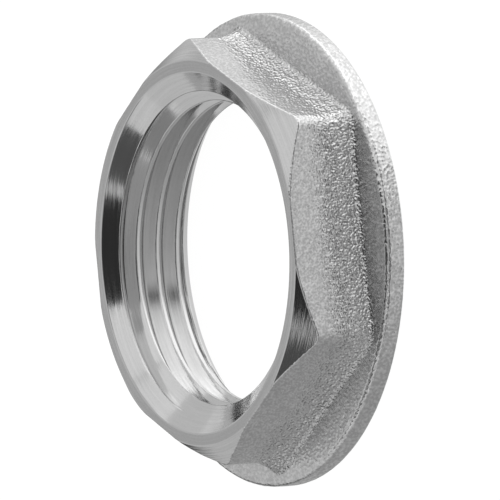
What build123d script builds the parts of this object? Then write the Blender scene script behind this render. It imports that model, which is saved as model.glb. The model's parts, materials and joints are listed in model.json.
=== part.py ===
import math
import os

from build123d import *

# Flanged hexagon locknut for a one-inch parallel pipe thread, lying on its flange.
# The origin is the centre of the flange's seat, +Z runs up the bore to the turned front ring,
# and the hexagon has two corners on X, so two of its flats face +Y and -Y.

# Sizes are in millimetres. The thread sets the nut's width: the wall runs from the thread's
# root to a flat, and the flange stands out past the sharp corners of the hexagon.
total_height = 9.9
wall_at_flats = 2.375
hex_corner_radius = 1.6
flange_overhang = 1.76
flange_thickness = 2.3
flange_front_round = 0.4
flange_back_chamfer = 0.25

# The foot of the hexagon flares outward and meets the flange in a small fillet
foot_height = 2.2
foot_taper = 9.0
foot_fillet = 0.5

# Turned front: the chamfer starts just outside the flats, which cut into the flat ring, and
# the countersink opens wider than the thread's root
chamfer_start_overhang = 0.25
chamfer_angle = 37.0
countersink_overhang = 1.425
countersink_angle = 96.0

# Lead-in chamfer at the seat, also wider than the thread's root
back_mouth_overhang = 0.975
back_mouth_angle = 90.0

# Right-handed one-inch parallel pipe thread, with the same small flat at its crest and root;
# its groove starts just below the seat, at one place on the circle, and ends in the countersink
thread_minor_diameter = 30.29
thread_pitch = 2.309
thread_flat = 0.384
thread_flank_angle = 27.5
thread_start_turn = 178.4
thread_start_depth = 0.2
thread_end_depth = 1.0

# How far the cutting shapes run past the faces they cut
overrun = 1.0
groove_overrun = 0.05

# Derived sizes
minor_radius = thread_minor_diameter / 2
inner_cut_radius = minor_radius - overrun
flank_slope = math.tan(math.radians(thread_flank_angle))
thread_depth = (thread_pitch / 2 - thread_flat) / flank_slope
major_radius = minor_radius + thread_depth
groove_inner_radius = minor_radius - groove_overrun
groove_half_width = thread_flat / 2 + (thread_depth + groove_overrun) * flank_slope
flat_radius = major_radius + wall_at_flats
corner_reach = flat_radius / math.cos(math.radians(30))
flange_radius = corner_reach + flange_overhang
foot_top = flange_thickness + foot_height
chamfer_start_radius = flat_radius + chamfer_start_overhang
chamfer_slope = math.tan(math.radians(chamfer_angle))
ring_inner_radius = major_radius + countersink_overhang
back_mouth_radius = major_radius + back_mouth_overhang


def cone_depth(outer_radius, inner_radius, included_angle):
    """Height of a countersink cone between two radii."""
    return (outer_radius - inner_radius) / math.tan(math.radians(included_angle / 2))


def rounded_hexagon(z):
    """Sketch of the hexagon with its corners rounded, at one height."""
    with BuildSketch(Plane.XY.offset(z)) as outline:
        RegularPolygon(flat_radius, 6, major_radius=False, rotation=0)
        fillet(outline.vertices(), radius=hex_corner_radius)
    return outline.sketch


with BuildPart() as hexagon:
    # Straight flats above the foot
    add(rounded_hexagon(foot_top))
    extrude(amount=total_height - foot_top)
    # Foot that flares down into the flange
    add(rounded_hexagon(foot_top))
    extrude(amount=-(foot_height + overrun), taper=-foot_taper)
    # Turned chamfer on the corners
    with BuildSketch(Plane.XZ):
        with BuildLine():
            Polyline(
                (0, 0),
                (corner_reach + overrun, 0),
                (corner_reach + overrun,
                 total_height - (corner_reach + overrun - chamfer_start_radius) * chamfer_slope),
                (chamfer_start_radius, total_height),
                (0, total_height),
                close=True,
            )
        make_face()
    revolve(axis=Axis.Z, mode=Mode.INTERSECT)

with BuildPart() as thread_groove:
    # Straight flanks and a flat root, swept up a helix
    with BuildLine() as climb:
        Helix(
            pitch=thread_pitch,
            height=total_height + thread_start_depth - thread_end_depth,
            radius=minor_radius,
            center=(0, 0, -thread_start_depth),
        )
    with BuildSketch(Plane.XZ.move(Location((0, 0, -thread_start_depth)))):
        with BuildLine():
            Polyline(
                (inner_cut_radius, -groove_half_width),
                (groove_inner_radius, -groove_half_width),
                (major_radius, -thread_flat / 2),
                (major_radius, thread_flat / 2),
                (groove_inner_radius, groove_half_width),
                (inner_cut_radius, groove_half_width),
                close=True,
            )
        make_face()
    sweep(path=climb.line, is_frenet=True)

with BuildPart() as locknut:
    # Flange, with a rounded rim in front and a small chamfer at the seat
    with BuildSketch(Plane.XZ) as flange_profile:
        with BuildLine():
            Polyline(
                (0, 0),
                (flange_radius, 0),
                (flange_radius, flange_thickness),
                (0, flange_thickness),
                close=True,
            )
        make_face()
        back_corner, front_corner = flange_profile.vertices().sort_by(Axis.X)[-2:].sort_by(Axis.Y)
        fillet(front_corner, radius=flange_front_round)
        chamfer(back_corner, length=flange_back_chamfer)
    revolve(axis=Axis.Z)
    add(hexagon.part)
    # Fillet where the flats, and the corners between them, meet the flange
    foot_edges = locknut.edges().filter_by(
        lambda edge: abs(edge.bounding_box().min.Z - flange_thickness) < 0.01
        and abs(edge.bounding_box().max.Z - flange_thickness) < 0.01
        and edge.length < 2 * flat_radius
    )
    fillet(foot_edges, radius=foot_fillet)
    # Bore and its thread
    with Locations((0, 0, total_height / 2)):
        Cylinder(minor_radius, total_height + 2 * overrun, mode=Mode.SUBTRACT)
    add(thread_groove.part, rotation=(0, 0, thread_start_turn), mode=Mode.SUBTRACT)
    # Countersink at the front ring and lead-in chamfer at the seat
    with BuildSketch(Plane.XZ):
        with BuildLine():
            Polyline(
                (inner_cut_radius, total_height),
                (ring_inner_radius, total_height),
                (inner_cut_radius,
                 total_height - cone_depth(ring_inner_radius, inner_cut_radius, countersink_angle)),
                close=True,
            )
        make_face()
        with BuildLine():
            Polyline(
                (inner_cut_radius, 0),
                (back_mouth_radius, 0),
                (inner_cut_radius, cone_depth(back_mouth_radius, inner_cut_radius, back_mouth_angle)),
                close=True,
            )
        make_face()
    revolve(axis=Axis.Z, mode=Mode.SUBTRACT)

locknut.part.label = "locknut"
os.makedirs("parts", exist_ok=True)
export_step(locknut.part, "parts/locknut.step")
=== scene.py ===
import json
import math

import bpy
import numpy as np
from mathutils import Matrix, Vector


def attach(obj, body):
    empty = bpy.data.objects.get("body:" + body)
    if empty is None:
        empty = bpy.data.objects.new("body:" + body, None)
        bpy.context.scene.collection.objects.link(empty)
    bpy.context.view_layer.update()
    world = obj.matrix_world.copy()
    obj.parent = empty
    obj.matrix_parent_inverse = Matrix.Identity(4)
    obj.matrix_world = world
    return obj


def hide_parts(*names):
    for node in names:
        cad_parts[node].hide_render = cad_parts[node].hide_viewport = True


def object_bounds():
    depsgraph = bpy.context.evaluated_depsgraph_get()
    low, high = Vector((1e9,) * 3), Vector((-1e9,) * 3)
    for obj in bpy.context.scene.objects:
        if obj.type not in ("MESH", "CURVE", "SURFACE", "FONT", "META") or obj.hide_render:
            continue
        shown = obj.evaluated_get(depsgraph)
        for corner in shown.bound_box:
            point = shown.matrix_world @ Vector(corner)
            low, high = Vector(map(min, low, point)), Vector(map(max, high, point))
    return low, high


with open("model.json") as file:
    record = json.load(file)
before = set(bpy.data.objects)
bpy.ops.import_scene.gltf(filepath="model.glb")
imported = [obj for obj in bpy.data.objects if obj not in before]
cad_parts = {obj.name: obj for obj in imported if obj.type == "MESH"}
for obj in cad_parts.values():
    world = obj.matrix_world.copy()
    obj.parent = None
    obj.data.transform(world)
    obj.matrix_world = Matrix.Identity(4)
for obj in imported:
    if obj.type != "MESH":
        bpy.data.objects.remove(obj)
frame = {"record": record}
cad_low, cad_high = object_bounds()
mounts = {mount["name"]: mount for mount in frame["record"]["mounts"]}

# The nut lies on the seat of its flange. The axis of the bore is Z, and two corners of the
# hexagon are on X. Sizes are in millimetres until the mesh is written, and the outer sizes
# and the radius of the thread's crests come from the frame.
MM = 0.001
HEIGHT = round(cad_high[2] / MM, 3)
FLANGE = round(cad_high[0] / MM, 3)
FLAT = round(mounts["spanner_flat_far"]["pos_m"][1] / MM, 3)
CREST = mounts["thread"]["dims"]["r_mm"]

# One-inch parallel pipe thread; one crest's middle is at the crest height at the crest turn
PITCH = 2.309
THREAD_FLAT = 0.384
FLANK = math.radians(27.5)
THREAD_DEPTH = round((PITCH / 2 - THREAD_FLAT) / math.tan(FLANK), 3)
ROOT = CREST + THREAD_DEPTH
THREAD_EASE = 0.035
CREST_HEIGHT = 4.97
CREST_TURN = math.radians(84.5)

# Turned front, countersink and lead-in chamfer: the chamfer starts just outside the flats, and
# both mouths of the bore are wider than the thread's root
CHAMFER_OVERHANG = 0.25
COUNTERSINK_OVERHANG = 1.425
BACK_MOUTH_OVERHANG = 0.975
CHAMFER_START = FLAT + CHAMFER_OVERHANG
CHAMFER_SLOPE = math.tan(math.radians(37.0))
RING_INNER = ROOT + COUNTERSINK_OVERHANG
COUNTERSINK_TURN = math.radians(51.0)
COUNTERSINK_SLOPE = math.tan(COUNTERSINK_TURN)
BACK_MOUTH = ROOT + BACK_MOUTH_OVERHANG

# Worn edges between the turned faces and the cast flats: their width and rows
EDGE = 0.11
EDGE_ROWS = 4

# Flange: its face rises from the rim to the foot
RIM_HEIGHT = 2.1
FACE_RISE = 0.3
FRONT_ROUND = 0.55
BACK_ROUND = 0.25

# Foot of the hexagon: it flares outward down to a fillet, which starts leaning a little
CORNER_ROUND = 1.6
FOOT_TOP = 4.75
FOOT_FLARE = 0.42
FOOT_FILLET = 0.5
FILLET_START = math.radians(8)

# Corners where the casting falls short: turn, depth and width as a turn
WORN_CORNERS = ((math.pi, 0.42, 0.13), (0.0, 0.20, 0.11))

# Sand-cast relief: height, cell size and seed of each size of grain, and of the long waves
CAST_GRAINS = ((0.020, 0.32, 3), (0.022, 0.50, 5), (0.014, 1.0, 7))
CAST_WAVES = (0.03, 3.0, 9)

# The grains are drawn out along the line of sight of the photograph, as one fixed direction
# on the nut, so that they look round from there
DRAW_SLANT = (-0.082, -0.849, 0.522)
DRAW_SHARE = 0.5

# Columns round the nut; the bore uses every third one
COLUMNS = 1500
BORE_STEP = 3


# Number work shared by the pieces

def bell(value, centre, width, power=2):
    """Bell curve: exp(-|(value - centre) / width|^power)."""
    return np.exp(-np.abs((value - centre) / width) ** power)


def lattice_value(i, j, k, seed):
    """A fixed number from 0 to 1 for each lattice point: its integer coordinates are mixed by
    multiplication with large odd numbers and by shifts, and the low bits are kept."""
    mix_i, mix_j, mix_k, mix_seed = 73856093, 19349663, 83492791, 2654435761
    scramble, low_bits = 1274126177, 0xFFFFFF
    n = (i * mix_i) ^ (j * mix_j) ^ (k * mix_k) ^ (seed * mix_seed)
    n = (n ^ (n >> 13)) * scramble
    n = (n ^ (n >> 16)) & low_bits
    return n / float(low_bits)


def grain(x, y, z, cell, seed):
    """Smooth noise from -1 to 1. The space is cut into cubes of one cell, each cube's corners
    have fixed values, and between them the value follows the curve 6t^5 - 15t^4 + 10t^3."""
    px, py, pz = x / cell, y / cell, z / cell
    i, j, k = (np.floor(p).astype(np.int64) for p in (px, py, pz))
    ease = lambda t: t * t * t * (t * (6 * t - 15) + 10)
    ux, uy, uz = ease(px - i), ease(py - j), ease(pz - k)
    total = 0.0
    for a, wx in ((0, 1 - ux), (1, ux)):
        for b, wy in ((0, 1 - uy), (1, uy)):
            for c, wz in ((0, 1 - uz), (1, uz)):
                total = total + wx * wy * wz * lattice_value(i + a, j + b, k + c, seed)
    return 2 * total - 1


def drawn_out(x, y, z):
    """Coordinates in which the casting's grains are even. The part along one slanting direction
    is made smaller, so the grains come out longer on the faces that lie along it."""
    along = (x * DRAW_SLANT[0] + y * DRAW_SLANT[1] + z * DRAW_SLANT[2]) * DRAW_SHARE
    return x - along * DRAW_SLANT[0], y - along * DRAW_SLANT[1], z - along * DRAW_SLANT[2]


def cast_relief(points):
    """Relief of the sand-cast faces: rounded grains of three sizes on long shallow waves. The
    grains have their greatest share of height on the foot and fall to their least above it."""
    least, most = 0.42, 0.92
    least_above, change_height = FOOT_TOP + 1.2, 1.6
    x, y, z = np.moveaxis(points, -1, 0)
    share = least + (most - least) * np.clip((least_above - z) / change_height, 0, 1)
    x, y, z = drawn_out(x, y, z)
    grains = sum(height * grain(x, y, z, cell, seed) for height, cell, seed in CAST_GRAINS)
    wave_height, wave_cell, wave_seed = CAST_WAVES
    return grains * share + wave_height * grain(x, y, z, wave_cell, wave_seed)


def hexagon_reach(turn, flat, corner):
    """Distance from the axis to a hexagon with rounded corners, along the ray at each turn.
    It is flat / cos(angle from the middle of the flat), and within a corner's arc it is the
    far crossing of the ray with the corner's circle."""
    twelfth = math.pi / 6
    u = (turn + twelfth) % (2 * twelfth) - twelfth
    centre = (flat - corner) / math.cos(twelfth)
    tangent = np.arctan2(corner * 0.5, centre + corner * math.cos(twelfth))
    on_flat = flat / np.cos(twelfth - np.abs(u))
    inside = np.maximum(corner ** 2 - (centre * np.sin(u)) ** 2, 0)
    on_arc = centre * np.cos(u) + np.sqrt(inside)
    return np.where(np.abs(u) < tangent, on_arc, on_flat)


def corner_wear(turn):
    """How far the casting falls short at two of its corners: a bell curve round each."""
    away = lambda centre: (turn - centre + math.pi) % (2 * math.pi) - math.pi
    return sum(depth * bell(away(centre), 0, width) for centre, depth, width in WORN_CORNERS)


def top_height(r):
    """Height of the turned front: flat to the start of the chamfer, then down its cone."""
    return HEIGHT - np.maximum(r - CHAMFER_START, 0) * CHAMFER_SLOPE


def face_height(r):
    """Height of the flange's front face, a straight slope down to the rim."""
    return RIM_HEIGHT + FACE_RISE * (FLANGE - r) / (FLANGE - FLAT)


def bend(p, q, s, t):
    """Curve that leaves p, is drawn toward q and ends at s: (1-t)^2 p + 2t(1-t) q + t^2 s."""
    return (1 - t) ** 2 * p + 2 * t * (1 - t) * q + t ** 2 * s


def shares(count, skip=0):
    """Even shares from 0 to 1 as a column, one for each row of a band, without the first ones
    that the band before it already has."""
    return np.linspace(0, 1, count + skip)[skip:, None]


def stacked(*bands):
    """Radius and height of a whole grid, from bands of rows that follow the profile. What is
    the same all round is spread over every column."""
    spread = lambda values: values + np.zeros(COLUMNS)
    return (np.concatenate([spread(band[part]) for band in bands]) for part in (0, 1))


def outward(r, z, around):
    """Points of a grid of radius and height over the turns, and the unit directions square to
    it: the cross product of the steps along the profile and along the columns."""
    points = np.stack([r * np.cos(around), r * np.sin(around), z], axis=-1)
    along = np.gradient(points, axis=0)
    across = np.roll(points, -1, axis=1) - np.roll(points, 1, axis=1)
    normal = np.cross(along, across)
    return points, normal / np.maximum(np.linalg.norm(normal, axis=-1, keepdims=True), 1e-12)


def closed_quads(rows, columns):
    """Corner numbers of every face of a grid whose last column meets its first."""
    i, j = np.meshgrid(np.arange(rows - 1), np.arange(columns), indexing="ij")
    after = (j + 1) % columns
    corners = [i * columns + j, (i + 1) * columns + j, (i + 1) * columns + after, i * columns + after]
    return np.stack(corners, axis=-1).reshape(-1, 4)


def ring_mesh(name, points, material, **point_shares):
    """Mesh of a grid of points that closes on itself round the axis. The rows follow the
    profile: outward on top, down outside, inward below and up the bore, so faces look out.
    Each share is kept as a number at every point, for the material to read."""
    rows, columns = points.shape[:2]
    quads = closed_quads(rows, columns)
    mesh = bpy.data.meshes.new(name)
    mesh.vertices.add(rows * columns)
    mesh.vertices.foreach_set("co", (points.reshape(-1, 3) * MM).astype(np.float32).ravel())
    mesh.loops.add(quads.size)
    mesh.loops.foreach_set("vertex_index", quads.ravel().astype(np.int32))
    mesh.polygons.add(len(quads))
    mesh.polygons.foreach_set("loop_start", np.arange(0, quads.size, 4, dtype=np.int32))
    mesh.polygons.foreach_set("loop_total", np.full(len(quads), 4, dtype=np.int32))
    mesh.update(calc_edges=True)
    mesh.validate()
    mesh.polygons.foreach_set("use_smooth", np.ones(len(mesh.polygons), dtype=bool))
    for title, values in point_shares.items():
        kept = mesh.attributes.new(title, "FLOAT", "POINT")
        kept.data.foreach_set("value", values.astype(np.float32).ravel())
    mesh.materials.append(material)
    piece = bpy.data.objects.new(name, mesh)
    bpy.context.scene.collection.objects.link(piece)
    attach(piece, "root")
    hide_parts("locknut")


# Node helpers

def node(tree, kind, place, **values):
    """Adds a node, sets its attributes and its named or numbered inputs."""
    made = tree.nodes.new(kind)
    made.location = place
    for key, value in values.items():
        if key == "inputs":
            for socket, number in value.items():
                made.inputs[socket].default_value = number
        else:
            setattr(made, key, value)
    return made


def emptied_tree(owner):
    """Node tree of a material or world, with nothing in it."""
    owner.use_nodes = True
    owner.node_tree.nodes.clear()
    return owner.node_tree


def group(name, inputs, outputs):
    """A node group with named sockets: inputs are (name, kind, default), outputs (name, kind)."""
    made = bpy.data.node_groups.new(name, "ShaderNodeTree")
    for title, kind, default in inputs:
        socket = made.interface.new_socket(title, in_out="INPUT", socket_type=kind)
        if default is not None:
            socket.default_value = default
    for title, kind in outputs:
        made.interface.new_socket(title, in_out="OUTPUT", socket_type=kind)
    start = node(made, "NodeGroupInput", (-1700, 0))
    end = node(made, "NodeGroupOutput", (900, 0))
    return made, start, end


def two_sizes_of_grain(tree, start, end, place, fine, coarse_size, mask_from):
    """Adds a fine noise and a coarse one, mixed by the coarse share, and sends the mix out as
    the height and, stretched between two levels, as the mask. The fine noise is given by its
    detail and roughness, and the coarse one by its scale as a share of the fine one's."""
    link = tree.links.new
    detail, roughness = fine
    scale, coarse_share = start.outputs["Grains per metre"], start.outputs["Coarse share"]
    small = node(tree, "ShaderNodeTexNoise", (-500, 200), inputs={"Detail": detail, "Roughness": roughness})
    coarse_scale = node(tree, "ShaderNodeMath", (-700, -100), operation="MULTIPLY", inputs={1: coarse_size})
    large = node(tree, "ShaderNodeTexNoise", (-500, -100), inputs={"Detail": 1.0, "Roughness": 0.5})
    link(place, small.inputs["Vector"])
    link(scale, small.inputs["Scale"])
    link(scale, coarse_scale.inputs[0])
    link(place, large.inputs["Vector"])
    link(coarse_scale.outputs[0], large.inputs["Scale"])
    both = node(tree, "ShaderNodeMix", (-100, 60), data_type="FLOAT")
    link(coarse_share, both.inputs["Factor"])
    link(small.outputs["Fac"], both.inputs["A"])
    link(large.outputs["Fac"], both.inputs["B"])
    low, high = mask_from
    mask = node(tree, "ShaderNodeMapRange", (200, -120),
                inputs={"From Min": low, "From Max": high, "To Min": 0.0, "To Max": 1.0})
    link(both.outputs["Result"], mask.inputs["Value"])
    link(both.outputs["Result"], end.inputs["Height"])
    link(mask.outputs["Result"], end.inputs["Mask"])


def plate_specks_group():
    """Small duller specks in the plate of the turned faces: two sizes of noise, and a mask that
    is high on the bright side."""
    tree, start, end = group(
        "plate_specks",
        [("Vector", "NodeSocketVector", None), ("Grains per metre", "NodeSocketFloat", 5200.0),
         ("Coarse share", "NodeSocketFloat", 0.3)],
        [("Height", "NodeSocketFloat"), ("Mask", "NodeSocketFloat")])
    two_sizes_of_grain(tree, start, end, start.outputs["Vector"], (2.0, 0.55), 0.42, (0.36, 0.64))
    return tree


def cast_pimples_with_painted_light_group():
    """Pimples of a sand casting: one smooth noise of the grains' size and a coarser one, with no
    finer detail, drawn out along one slanting direction as the mesh's grains are, and a mask that
    is high on the pimples. The cast plate uses this mask to paint a highlight on the pimples and
    shade in the hollows."""
    tree, start, end = group(
        "cast_pimples",
        [("Vector", "NodeSocketVector", None), ("Grains per metre", "NodeSocketFloat", 4200.0),
         ("Coarse share", "NodeSocketFloat", 0.3), ("Slant", "NodeSocketVector", DRAW_SLANT),
         ("Drawn out", "NodeSocketFloat", DRAW_SHARE)],
        [("Height", "NodeSocketFloat"), ("Mask", "NodeSocketFloat")])
    link = tree.links.new
    along = node(tree, "ShaderNodeVectorMath", (-1500, 200), operation="DOT_PRODUCT")
    share = node(tree, "ShaderNodeMath", (-1300, 200), operation="MULTIPLY")
    part = node(tree, "ShaderNodeVectorMath", (-1120, 200), operation="SCALE")
    even = node(tree, "ShaderNodeVectorMath", (-940, 300), operation="SUBTRACT")
    link(start.outputs["Vector"], along.inputs[0])
    link(start.outputs["Slant"], along.inputs[1])
    link(along.outputs["Value"], share.inputs[0])
    link(start.outputs["Drawn out"], share.inputs[1])
    link(start.outputs["Slant"], part.inputs[0])
    link(share.outputs[0], part.inputs["Scale"])
    link(start.outputs["Vector"], even.inputs[0])
    link(part.outputs[0], even.inputs[1])
    two_sizes_of_grain(tree, start, end, even.outputs[0], (0.0, 0.5), 0.45, (0.40, 0.66))
    return tree


def turning_marks_group():
    """Marks of a turning tool: noise that changes fast with the distance from the axis and the
    height, and slowly along the circle, read as (r, z, cos, sin) in four dimensions."""
    tree, start, end = group(
        "turning_marks",
        [("Vector", "NodeSocketVector", None), ("Marks per metre", "NodeSocketFloat", 5200.0),
         ("Change along the circle", "NodeSocketFloat", 2.2)],
        [("Height", "NodeSocketFloat"), ("Streak", "NodeSocketFloat")])
    link = tree.links.new

    def times(value, factor, place):
        """The value times one of the group's inputs."""
        product = node(tree, "ShaderNodeMath", place, operation="MULTIPLY")
        link(value, product.inputs[0])
        link(start.outputs[factor], product.inputs[1])
        return product.outputs[0]

    parts = node(tree, "ShaderNodeSeparateXYZ", (-700, 100))
    link(start.outputs["Vector"], parts.inputs[0])
    level = node(tree, "ShaderNodeCombineXYZ", (-520, 200))
    link(parts.outputs["X"], level.inputs["X"])
    link(parts.outputs["Y"], level.inputs["Y"])
    length = node(tree, "ShaderNodeVectorMath", (-340, 260), operation="LENGTH")
    unit = node(tree, "ShaderNodeVectorMath", (-340, 60), operation="NORMALIZE")
    link(level.outputs[0], length.inputs[0])
    link(level.outputs[0], unit.inputs[0])
    unit_parts = node(tree, "ShaderNodeSeparateXYZ", (-160, 60))
    link(unit.outputs[0], unit_parts.inputs[0])
    place = node(tree, "ShaderNodeCombineXYZ", (220, 240))
    link(times(length.outputs["Value"], "Marks per metre", (-160, 260)), place.inputs["X"])
    link(times(parts.outputs["Z"], "Marks per metre", (-160, 420)), place.inputs["Y"])
    link(times(unit_parts.outputs["X"], "Change along the circle", (20, 60)), place.inputs["Z"])
    marks = node(tree, "ShaderNodeTexNoise", (420, 200), noise_dimensions="4D",
                 inputs={"Scale": 1.0, "Detail": 2.0, "Roughness": 0.6})
    link(place.outputs[0], marks.inputs["Vector"])
    link(times(unit_parts.outputs["Y"], "Change along the circle", (20, -120)), marks.inputs["W"])
    streak = node(tree, "ShaderNodeMapRange", (640, 40),
                  inputs={"From Min": 0.38, "From Max": 0.66, "To Min": 0.0, "To Max": 1.0})
    link(marks.outputs["Fac"], streak.inputs["Value"])
    link(marks.outputs["Fac"], end.inputs["Height"])
    link(streak.outputs["Result"], end.inputs["Streak"])
    return tree


def use_group(tree, made, place, vector, **values):
    """Places a node group in a material, gives it its coordinates and sets its inputs by name."""
    used = node(tree, "ShaderNodeGroup", place, node_tree=made)
    tree.links.new(vector, used.inputs["Vector"])
    for socket, number in values.items():
        used.inputs[socket.replace("_", " ")].default_value = number
    return used


# Looks of the plate

def blank_plate(name):
    """A metal material with only a Principled shader and its output, and the Object
    coordinates."""
    material = bpy.data.materials.new(name)
    tree = emptied_tree(material)
    shader = node(tree, "ShaderNodeBsdfPrincipled", (700, 0), inputs={"Metallic": 1.0})
    output = node(tree, "ShaderNodeOutputMaterial", (1000, 0))
    tree.links.new(shader.outputs["BSDF"], output.inputs["Surface"])
    coordinates = node(tree, "ShaderNodeTexCoord", (-1100, 0))
    return material, tree, shader, coordinates.outputs["Object"]


def shade_plate(tree, shader, first, second, second_share, greys, roughness):
    """Mixes two patterns into one shade. The shade takes the colour from the dull grey to the
    bright one, and the roughness from its high value to its low one. On the cast faces the dull
    grey is partly painted shade in the hollows, and the bright one is partly a painted highlight
    on the pimples. Gives back the colour."""
    link = tree.links.new
    dull, bright = greys
    rough_low, rough_high = roughness
    shade = node(tree, "ShaderNodeMix", (-300, -120), data_type="FLOAT", inputs={"Factor": second_share})
    link(first, shade.inputs["A"])
    link(second, shade.inputs["B"])
    colour = node(tree, "ShaderNodeMix", (50, 150), data_type="RGBA")
    colour.inputs["A"].default_value = (dull, dull, dull, 1)
    colour.inputs["B"].default_value = (bright, bright, bright, 1)
    link(shade.outputs["Result"], colour.inputs["Factor"])
    rough = node(tree, "ShaderNodeMapRange", (50, -150),
                 inputs={"From Min": 0.2, "From Max": 0.8, "To Min": rough_high, "To Max": rough_low})
    link(shade.outputs["Result"], rough.inputs["Value"])
    link(rough.outputs["Result"], shader.inputs["Roughness"])
    return colour.outputs["Result"]


def raise_relief(tree, shader, height, bump):
    """Small relief of the plate, of the given height in metres."""
    relief = node(tree, "ShaderNodeBump", (350, -350), inputs={"Strength": 1.0, "Distance": bump})
    tree.links.new(height, relief.inputs["Height"])
    tree.links.new(relief.outputs["Normal"], shader.inputs["Normal"])
    return relief


def cast_plate(name, grains, bump, roughness, greys, near_front=1.0):
    """Bright nickel over a casting: a painted highlight on the pimples, painted shade in the
    hollows between them, and broad patches where the plate is a little darker at random. The
    relief falls from its full height on the foot to the given share near the turned front."""
    material, tree, shader, coordinates = blank_plate(name)
    link = tree.links.new
    pimples_with_painted_light = use_group(tree, PIMPLES_WITH_PAINTED_LIGHT, (-700, 150), coordinates, Grains_per_metre=grains, Coarse_share=0.3)
    patches = node(tree, "ShaderNodeTexNoise", (-700, -200),
                   inputs={"Scale": 260.0, "Detail": 3.0, "Roughness": 0.6})
    link(coordinates, patches.inputs["Vector"])
    # Colour from the pimples' mask and the patches: lighter on the pimples and darker in the hollows, which
    # is painted highlight and painted shade, with darker patches at random
    colour = shade_plate(tree, shader, pimples_with_painted_light.outputs["Mask"], patches.outputs["Fac"], 0.45,
                         greys, roughness)
    link(colour, shader.inputs["Base Color"])
    relief = raise_relief(tree, shader, pimples_with_painted_light.outputs["Height"], bump)
    if near_front < 1:
        full_below, least_above = 4.2 * MM, 7.4 * MM
        parts = node(tree, "ShaderNodeSeparateXYZ", (-500, -480))
        link(coordinates, parts.inputs[0])
        share = node(tree, "ShaderNodeMapRange", (-200, -480),
                     inputs={"From Min": full_below, "From Max": least_above,
                             "To Min": 1.0, "To Max": near_front})
        link(parts.outputs["Z"], share.inputs["Value"])
        link(share.outputs["Result"], relief.inputs["Strength"])
    return material


def turned_plate(name, marks, bump, roughness, greys, root=None):
    """Bright nickel over a turned face: fine rings of the tool, some duller, and small specks.
    Where a root grey is given, it takes over by the mesh's share at the root, as painted shade."""
    material, tree, shader, coordinates = blank_plate(name)
    link = tree.links.new
    rings = use_group(tree, MARKS, (-700, 150), coordinates, Marks_per_metre=marks,
                      Change_along_the_circle=2.2)
    specks = use_group(tree, SPECKS, (-700, -200), coordinates, Grains_per_metre=5200.0, Coarse_share=0.3)
    colour = shade_plate(tree, shader, rings.outputs["Streak"], specks.outputs["Mask"], 0.3,
                         greys, roughness)
    if root is not None:
        # Painted shade: the thread's root goes to the darker root grey by the share kept there
        share = node(tree, "ShaderNodeAttribute", (50, 420), attribute_name="root_share")
        darker = node(tree, "ShaderNodeMix", (350, 250), data_type="RGBA")
        darker.inputs["B"].default_value = (root, root, root, 1)
        link(share.outputs["Fac"], darker.inputs["Factor"])
        link(colour, darker.inputs["A"])
        colour = darker.outputs["Result"]
    link(colour, shader.inputs["Base Color"])
    raise_relief(tree, shader, rings.outputs["Height"], bump)
    return material


SPECKS = plate_specks_group()
PIMPLES_WITH_PAINTED_LIGHT = cast_pimples_with_painted_light_group()
MARKS = turning_marks_group()
# Greys of the cast plates, from painted shade in the hollows to a painted highlight on the pimples
FLAT_PLATE = cast_plate("nickel_on_cast_flats", 4500.0, 2.4e-4, (0.12, 0.22), (0.53, 0.80), near_front=0.22)
FLANGE_PLATE = cast_plate("nickel_on_flange", 3500.0, 0.9e-4, (0.16, 0.26), (0.55, 0.86))
FRONT_PLATE = turned_plate("nickel_on_turned_front", 5200.0, 2.0e-5, (0.07, 0.14), (0.61, 0.71))
# The bore's root grey is painted shade in the root of the thread's groove
BORE_PLATE = turned_plate("nickel_on_thread", 4200.0, 0.8e-5, (0.08, 0.15), (0.69, 0.77), root=0.36)


# Pieces of the nut

turns = np.arange(COLUMNS) * (2 * math.pi / COLUMNS)
top_reach = hexagon_reach(turns, FLAT, CORNER_ROUND) - corner_wear(turns)


def hexagon_sides():
    """Cast flats and corners, from the worn edge under the turned front down to the top of the
    foot. The relief moves each point along its own normal and fades out at the worn edge, and
    no point is raised above the front ring."""
    side_rows, fade_in = 59, 30
    edge, side = shares(EDGE_ROWS), shares(side_rows, skip=1)
    start = top_reach - EDGE
    top = top_height(top_reach)
    r, z = stacked(
        (bend(start, top_reach, top_reach, edge), bend(top_height(start), top, top - EDGE, edge)),
        (top_reach + 0 * side, (top - EDGE) * (1 - side) + FOOT_TOP * side))
    points, normal = outward(r, z, turns)
    fade = np.clip(shares(len(r)) * fade_in, 0, 1)
    normal[-1] = normal[-2]
    points = points + normal * (cast_relief(points) * fade)[..., None]
    points[..., 2] = np.minimum(points[..., 2], HEIGHT)
    ring_mesh("locknut_hexagon", points, FLAT_PLATE)


def grown_hexagon(grown):
    """Reach of the hexagon when its flats and the rounding of its corners are that much larger."""
    return hexagon_reach(turns, FLAT + grown, CORNER_ROUND + grown)


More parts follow.
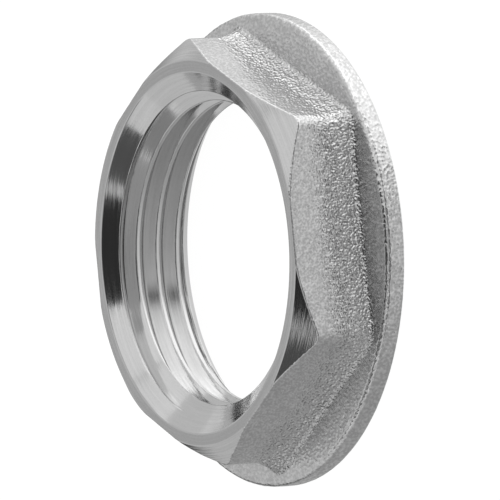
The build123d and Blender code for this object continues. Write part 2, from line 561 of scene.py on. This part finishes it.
def foot():
    """Flared foot of the hexagon and the fillet round it. At each turn the reach is that of a
    hexagon grown by the flare at that height, which follows the share of the way down to the
    power 1.5. The fillet is an arc that starts leaning and ends level. The relief is lower on
    the fillet, down to a fifth, and changes over some rows that begin just above it."""
    foot_rows, fillet_rows, beside_fillet = 34, 14, FLAT + 1.0
    down, past = shares(foot_rows + 1), shares(fillet_rows, skip=1)
    fillet_base = face_height(beside_fillet)
    fillet_top = fillet_base + FOOT_FILLET
    side = grown_hexagon(FOOT_FLARE * down ** 1.5) - corner_wear(turns) * (1 - down)
    bow = FILLET_START + (math.pi / 2 - FILLET_START) * past
    reach = grown_hexagon(FOOT_FLARE + FOOT_FILLET * (math.cos(FILLET_START) - np.cos(bow)))
    lift = FOOT_FILLET * (1 - np.sin(bow)) / (1 - math.sin(FILLET_START))
    level = face_height(reach)
    r, z = stacked(
        (side, FOOT_TOP * (1 - down) + fillet_top * down),
        (reach, level + lift + (fillet_base - level) * (1 - past)))
    points, normal = outward(r, z, turns)
    normal[0, :, 2] = 0
    normal[0] /= np.linalg.norm(normal[0], axis=-1, keepdims=True)
    normal[-1] = (0, 0, 1)
    rows_before, change_rows, smoothed = 4, 10, 0.8
    smoother = np.clip((np.arange(len(r))[:, None] - foot_rows + rows_before) / change_rows, 0, 1)
    points = points + normal * (cast_relief(points) * (1 - smoothed * smoother))[..., None]
    ring_mesh("locknut_foot", points, FLAT_PLATE)


def flange():
    """Front face of the flange, its rounded rim and the edge of the seat. The face is a
    straight slope between the foot and the rim, and each round is a quarter circle. The relief
    is light on the face and stronger on the rim, where it goes inward and so stays within the
    frame's box. Next to the foot it takes over a little of the foot's own relief."""
    face_rows, front_rows, rim_rows, back_rows = 22, 7, 15, 5
    foot_reach = grown_hexagon(FOOT_FLARE + FOOT_FILLET * math.cos(FILLET_START))
    outer = FLANGE - FRONT_ROUND
    shoulder = face_height(outer)
    across, down = shares(face_rows), shares(rim_rows, skip=1)
    front_bow, back_bow = (shares(rows, skip=1) * math.pi / 2 for rows in (front_rows, back_rows))
    reach = foot_reach * (1 - across) + outer * across
    r, z = stacked(
        (reach, face_height(reach)),
        (outer + FRONT_ROUND * np.sin(front_bow), shoulder - FRONT_ROUND * (1 - np.cos(front_bow))),
        (FLANGE + 0 * down, (shoulder - FRONT_ROUND) * (1 - down) + BACK_ROUND * down),
        (FLANGE - BACK_ROUND * (1 - np.cos(back_bow)), BACK_ROUND * (1 - np.sin(back_bow))))
    points, normal = outward(r, z, turns)
    x, y, z = np.moveaxis(points, -1, 0)
    fade_in, leave_foot, rim_width, rim_change = 12, 7, 0.5, 0.4
    (fine_cell, fine_seed), (coarse_cell, coarse_seed) = (0.36, 12), (0.6, 14)
    depth = shares(len(r))
    fade = np.clip(depth * fade_in, 0, 1) * np.clip((1 - depth) * fade_in, 0, 1)
    from_foot = 0.2 * np.clip(1 - depth * leave_foot, 0, 1) ** 1.5
    on_rim = np.clip((r - FLANGE + rim_width) / rim_change, 0, 1)
    fine, coarse, inset = 0.007 + 0.005 * on_rim, 0.011 * on_rim, 0.028 * on_rim
    relief = fine * grain(x, y, z, fine_cell, fine_seed) + coarse * grain(x, y, z, coarse_cell, coarse_seed)
    shift = (relief - inset) * fade + cast_relief(points) * from_foot
    normal[0] = (0, 0, 1)
    ring_mesh("locknut_flange", points + normal * shift[..., None], FLANGE_PLATE)


def turned_front():
    """Flat ring and chamfer. Rows run outward: a worn edge at the countersink, the ring to the
    start of the chamfer, then down the chamfer's cone to the edge of the flats. Where a flat
    cuts into the ring the chamfer has no width."""
    ring_rows, chamfer_rows, least_chamfer = 7, 18, 0.02
    edge, over_ring, over_chamfer = shares(EDGE_ROWS), shares(ring_rows, skip=1), shares(chamfer_rows, skip=1)
    start = top_reach - EDGE
    split = np.minimum(CHAMFER_START, start - least_chamfer)
    inner_r = RING_INNER - EDGE * math.sin(COUNTERSINK_TURN)
    inner_z = HEIGHT - EDGE * math.cos(COUNTERSINK_TURN)
    ring = (RING_INNER + EDGE) * (1 - over_ring) + split * over_ring
    chamfer = split * (1 - over_chamfer) + start * over_chamfer
    r, z = stacked(
        (bend(inner_r, RING_INNER, RING_INNER + EDGE, edge), bend(inner_z, HEIGHT, HEIGHT, edge)),
        (ring, top_height(ring)),
        (chamfer, top_height(chamfer)))
    ring_mesh("locknut_front", outward(r, z, turns)[0], FRONT_PLATE)


def blended_max(a, b, softness):
    """The larger of two values with the corner between them eased."""
    return 0.5 * (a + b + np.sqrt((a - b) ** 2 + softness ** 2))


def thread_radius(turn, z):
    """Radius of the thread at each turn and height. The distance along the axis from the
    middle of the nearest crest sets it: a narrow flat crest, a straight flank at 27.5 degrees
    and a flat root, with eased corners. The crest climbs one pitch in each turn to the right."""
    crest = CREST_HEIGHT + PITCH * (turn - CREST_TURN) / (2 * math.pi)
    along = (z - crest) / PITCH
    away = np.abs(along - np.round(along)) * PITCH
    flank = (away - THREAD_FLAT / 2) / math.tan(FLANK)
    risen = blended_max(flank, 0.0, THREAD_EASE)
    return CREST + THREAD_DEPTH - blended_max(THREAD_DEPTH - risen, 0.0, 2 * THREAD_EASE)


def threaded_bore():
    """Bore as radius over turn and height: the largest of the thread, the countersink's cone
    and the lead-in cone at the seat, with the corners between them slightly eased. Heights
    are closest where the thread shows, and the share of painted shade is high at the thread's root."""
    cone_ease, thread_ease = 0.01, 0.02
    fine_from, fine_to = 2.3, 8.85
    seat_rows, fine_rows, mouth_rows = 22, 166, 10
    root_width, root_change, cone_change = 0.16, 0.12, 0.2
    around = turns[::BORE_STEP]
    high = HEIGHT - EDGE * math.cos(COUNTERSINK_TURN)
    heights = np.concatenate([np.linspace(0.0, fine_from, seat_rows)[:-1],
                              np.linspace(fine_from, fine_to, fine_rows),
                              np.linspace(fine_to, high, mouth_rows)[1:]])
    z = heights[:, None] * np.ones(len(around))
    turn = np.ones((len(heights), 1)) * around
    front = RING_INNER - (HEIGHT - z) * COUNTERSINK_SLOPE
    back = BACK_MOUTH - z
    thread = thread_radius(turn, z)
    r = blended_max(thread, blended_max(front, back, cone_ease), thread_ease)
    r[-1] = RING_INNER - EDGE * math.sin(COUNTERSINK_TURN)
    r[0] = BACK_MOUTH
    # Share of painted shade at the thread's root, where the thread lies outside the countersink's cone
    at_root = np.clip((thread - ROOT + root_width) / root_change, 0, 1)
    outside_cone = np.clip((thread - front) / cone_change, 0, 1)
    points = outward(r, z, around)[0]
    ring_mesh("locknut_bore", points, BORE_PLATE, root_share=at_root * outside_cone)


def seat():
    """Flat seat below, from the rounded edge of the flange in to the lead-in chamfer."""
    rows = 12
    inward = shares(rows)
    r, z = stacked(((FLANGE - BACK_ROUND) * (1 - inward) + BACK_MOUTH * inward, 0 * inward))
    ring_mesh("locknut_seat", outward(r, z, turns)[0], FRONT_PLATE)


hexagon_sides()
foot()
flange()
turned_front()
threaded_bore()
seat()


# Floor, studio and camera, in metres

def stage_object(name, mesh, material):
    """Puts a mesh of the studio into the scene."""
    mesh.materials.append(material)
    sheet = bpy.data.objects.new(name, mesh)
    bpy.context.scene.collection.objects.link(sheet)
    return sheet


def flat_sheet(name, corners, material):
    """A four-cornered sheet of the studio."""
    mesh = bpy.data.meshes.new(name)
    mesh.from_pydata(corners, [], [(0, 1, 2, 3)])
    return stage_object(name, mesh, material)


def floor_material():
    """Pale floor: lit by the lamps, and for the camera, for gloss and for clear things it also
    gives off the white of the background, so that only the object's shadow shows on it."""
    camera_white, gloss_white, lit_grey, white_strength = 0.91, 0.25, 0.86, 1.06
    material = bpy.data.materials.new("pale_floor")
    tree = emptied_tree(material)
    link = tree.links.new
    path = node(tree, "ShaderNodeLightPath", (-900, 0))
    camera_share = node(tree, "ShaderNodeMath", (-650, 200), operation="MULTIPLY", inputs={1: camera_white})
    other = node(tree, "ShaderNodeMath", (-650, 0), operation="MAXIMUM")
    other_share = node(tree, "ShaderNodeMath", (-450, 0), operation="MULTIPLY", inputs={1: gloss_white})
    share = node(tree, "ShaderNodeMath", (-250, 100), operation="MAXIMUM")
    link(path.outputs["Is Camera Ray"], camera_share.inputs[0])
    link(path.outputs["Is Glossy Ray"], other.inputs[0])
    link(path.outputs["Is Transmission Ray"], other.inputs[1])
    link(other.outputs[0], other_share.inputs[0])
    link(camera_share.outputs[0], share.inputs[0])
    link(other_share.outputs[0], share.inputs[1])
    lit = node(tree, "ShaderNodeBsdfDiffuse", (-250, -150),
               inputs={"Color": (lit_grey, lit_grey, lit_grey, 1)})
    white = node(tree, "ShaderNodeEmission", (-250, -300), inputs={"Strength": white_strength})
    mix = node(tree, "ShaderNodeMixShader", (50, 0))
    output = node(tree, "ShaderNodeOutputMaterial", (300, 0))
    link(share.outputs[0], mix.inputs[0])
    link(lit.outputs[0], mix.inputs[1])
    link(white.outputs[0], mix.inputs[2])
    link(mix.outputs[0], output.inputs["Surface"])
    return material


def glow_material(name, grey=1.0, attribute=None):
    """Gives off a plain grey, or white as strong as an attribute says at each point."""
    material = bpy.data.materials.new(name)
    tree = emptied_tree(material)
    glow = node(tree, "ShaderNodeEmission", (0, 0), inputs={"Color": (grey, grey, grey, 1), "Strength": 1.0})
    output = node(tree, "ShaderNodeOutputMaterial", (300, 0))
    tree.links.new(glow.outputs[0], output.inputs["Surface"])
    if attribute:
        share = node(tree, "ShaderNodeAttribute", (-300, 0), attribute_name=attribute)
        tree.links.new(share.outputs["Fac"], glow.inputs["Strength"])
    return material


def gloss_only(sheet):
    """Hides a sheet from the camera and from the light that falls on the nut."""
    sheet.visible_camera = False
    sheet.visible_diffuse = False
    sheet.visible_shadow = False
    sheet.visible_transmission = False


def card(name, corners, grey):
    """A studio card that only gloss sees: it gives off a plain grey, and neither the camera nor
    the light that falls on the nut meets it."""
    gloss_only(flat_sheet(name, corners, glow_material(name, grey)))


def overhead(name, x0, x1, y0, y1, height, grey):
    """A level card above the nut, given by the slopes at which its edges are seen."""
    edges = ((x0, y0), (x1, y0), (x1, y1), (x0, y1))
    card("card_overhead_" + name, [(x * height, y * height, height) for x, y in edges], grey)


def crosswise(name, y, x0, x1, z0, z1, grey):
    """An upright card across the nut, behind or in front of it."""
    card(name, [(x0, y, z0), (x1, y, z0), (x1, y, z1), (x0, y, z1)], grey)


def lengthwise(name, x, y0, y1, z0, z1, grey):
    """An upright card at one side of the nut."""
    card(name, [(x, y0, z0), (x, y1, z0), (x, y1, z1), (x, y0, z1)], grey)


def low_backdrop():
    """Bowl round and under the nut that only gloss sees, with a grey at every point. The grey
    is worked out from bell curves of the turn and the rise, in degrees. The lower part is
    0.37 + 0.86 exp(-(turn / 82)^2), brightest on the key side. Above 36 degrees down the
    brightest place moves 20 degrees toward the front, with a little more light in two places
    there. Then come a bright spot low on the key side, a narrow dark strip below the front, a
    shallow dark patch in front, and two dark bands at the horizon, in front and behind."""
    columns, rows, radius, lowest, highest = 240, 91, 1.6, -80, 10
    turn = np.linspace(-180, 180, columns + 1)[None, :-1] * np.ones((rows, 1))
    rise = np.linspace(lowest, highest, rows)[:, None] * np.ones((1, columns))
    rises_past = lambda start, width: np.clip((rise - start) / width, 0, 1)
    below = 0.37 + 0.86 * bell(turn, 0, 82)
    above = 0.36 + 0.86 * bell(turn, -20, 76) + 0.12 * bell(turn, -112, 26) + 0.12 * bell(turn, -36, 26)
    bright_spot = 0.85 * bell(turn, 8, 32) * bell(rise, -15, 9.5)
    dark_strip = 0.80 * bell(turn, -65, 7.5) * (1 - rises_past(-35, 2))
    dark_patch = 0.11 * bell(turn, -85, 24) * bell(rise, -27, 14)
    dark_in_front = 0.84 * bell(turn, -90, 52, 4) * rises_past(-18, 7)
    dark_behind = 0.88 * bell(turn, 100, 36, 6) * rises_past(-13, 5) * (1 - rises_past(1.5, 2))
    grey = below + (above - below) * rises_past(-36, 4) + bright_spot
    grey = (grey * (1 - dark_strip) - dark_patch) * (1 - dark_in_front) * (1 - dark_behind)
    turn, rise = np.radians(turn), np.radians(rise)
    level = np.cos(rise) * radius
    points = np.stack([level * np.cos(turn), level * np.sin(turn), np.sin(rise) * radius], axis=-1)
    mesh = bpy.data.meshes.new("low_backdrop")
    mesh.from_pydata(points.reshape(-1, 3), [], closed_quads(rows, columns))
    kept = mesh.attributes.new("card_grey", "FLOAT", "POINT")
    kept.data.foreach_set("value", grey.astype(np.float32).ravel())
    gloss_only(stage_object("low_backdrop", mesh, glow_material("low_backdrop", attribute="card_grey")))


def lamp(name, place, size, power):
    """A soft square lamp that looks at the nut and isn't seen in its gloss."""
    light = bpy.data.lights.new(name, "AREA")
    light.shape = "SQUARE"
    light.size = size
    light.energy = power
    made = bpy.data.objects.new(name, light)
    made.location = place
    made.rotation_mode = "QUATERNION"
    made.rotation_quaternion = (-Vector(place)).to_track_quat("-Z", "Y")
    made.visible_glossy = False
    made.visible_camera = False
    bpy.context.scene.collection.objects.link(made)


def world_light():
    """A white world for the camera, gloss and clear things, and a plainer grey as light."""
    light_grey = 0.55
    world = bpy.data.worlds.new("studio")
    bpy.context.scene.world = world
    tree = emptied_tree(world)
    link = tree.links.new
    path = node(tree, "ShaderNodeLightPath", (-700, 0))
    first = node(tree, "ShaderNodeMath", (-450, 100), operation="MAXIMUM")
    seen = node(tree, "ShaderNodeMath", (-250, 50), operation="MAXIMUM")
    link(path.outputs["Is Camera Ray"], first.inputs[0])
    link(path.outputs["Is Glossy Ray"], first.inputs[1])
    link(first.outputs[0], seen.inputs[0])
    link(path.outputs["Is Transmission Ray"], seen.inputs[1])
    strength = node(tree, "ShaderNodeMapRange", (-50, 50), inputs={"To Min": light_grey, "To Max": 1.0})
    link(seen.outputs[0], strength.inputs["Value"])
    back = node(tree, "ShaderNodeBackground", (200, 0), inputs={"Color": (1, 1, 1, 1)})
    link(strength.outputs["Result"], back.inputs["Strength"])
    output = node(tree, "ShaderNodeOutputWorld", (450, 0))
    link(back.outputs[0], output.inputs["Surface"])


world_light()

# Large level floor just under the seat, which gloss doesn't see
side, level = 4, -0.00004
floor = flat_sheet("floor", [(-side, -side, level), (side, -side, level), (side, side, level),
                             (-side, side, level)], floor_material())
floor.visible_glossy = False

lamp("key_lamp", (0.55, 0.20, 0.55), 0.45, 5.0)
lamp("fill_lamp", (-0.30, -0.60, 0.60), 0.60, 1.6)

# Cards overhead: the slopes of the four edges, the height and the grey. Where two overlap, the
# lower one hides the other. The black one stands toward the camera
overhead("bright", 0.32, 3.20, -2.40, 0.12, 0.998, 0.80)
overhead("black", -0.45, 0.32, -0.66, 0.02, 1.000, 0.03)
overhead("middle", -0.54, -0.45, -0.66, 0.02, 1.002, 0.54)
overhead("rear_grey", -0.84, -0.44, 0.36, 0.95, 1.003, 0.25)
overhead("dark", -1.03, -0.54, -0.80, 0.40, 1.004, 0.085)
overhead("dull", -3.20, -0.96, -2.40, 0.60, 1.006, 0.66)
overhead("near", -0.96, 0.32, -2.40, -0.66, 1.008, 0.48)
overhead("rear", -0.56, 0.44, 0.02, 0.36, 1.010, 0.33)
overhead("rear_edge", 1.00, 1.40, 0.12, 0.75, 1.011, 0.78)
overhead("rear_beyond", 0.88, 1.40, 0.75, 1.15, 1.009, 0.95)
overhead("rear_key", 0.32, 1.40, 0.12, 1.20, 1.012, 0.58)
overhead("rear_far", 0.32, 3.20, 0.12, 2.60, 1.014, 0.78)
overhead("rear_dull", -3.20, 0.32, 0.25, 3.20, 1.016, 0.66)

# Cards behind the nut, toward the camera and at the sides
crosswise("card_behind_ring", 0.985, -0.04, 0.22, 0.53, 0.70, 0.47)
crosswise("card_behind", 1.0, -2.20, 1.60, 0.18, 0.90, 0.59)
crosswise("card_front", -1.2, -0.60, 0.60, 0.21, 0.60, 0.42)
lengthwise("card_key", 1.2, -1.00, -0.20, 0.21, 0.80, 1.35)
lengthwise("card_dull_side", -1.2, -1.00, 1.00, 0.21, 0.46, 0.56)
low_backdrop()


def photograph_camera():
    """Long-lens camera. Its direction comes from an azimuth and an elevation, its sideways axis
    points down along the bore's axis, turned by a small roll, and it is then moved within its
    own plane so that the nut sits as in the photograph. Distances are in millimetres, and the
    focal length is in pixels of the picture."""
    azimuth, elevation, roll = -1.66717, 0.54866, -0.0435
    distance, right_shift, up_shift, focal = 1103.15884, 2.26667, 0.16504, 11064.58864
    aim_height, picture_width, sensor_width = 6.0, 500.0, 36.0
    toward = Vector((math.cos(elevation) * math.cos(azimuth), math.cos(elevation) * math.sin(azimuth),
                     math.sin(elevation)))
    forward = -toward
    lying = Vector((0, 0, 1)) - forward * forward.z
    sideways = -lying.normalized()
    upward = sideways.cross(forward)
    right = sideways * math.cos(roll) + upward * math.sin(roll)
    up = upward * math.cos(roll) - sideways * math.sin(roll)
    place = toward * distance + right * right_shift + up * up_shift + Vector((0, 0, aim_height))
    data = bpy.data.cameras.new("camera")
    data.sensor_width = sensor_width
    data.lens = focal / picture_width * sensor_width
    data.clip_start, data.clip_end = 0.05, 20.0
    made = bpy.data.objects.new("camera", data)
    bpy.context.scene.collection.objects.link(made)
    turned = Matrix((right, up, toward)).transposed().to_4x4()
    made.matrix_world = Matrix.Translation(place * MM) @ turned
    bpy.context.scene.camera = made


photograph_camera()
bpy.context.scene.view_settings.view_transform = "Standard"
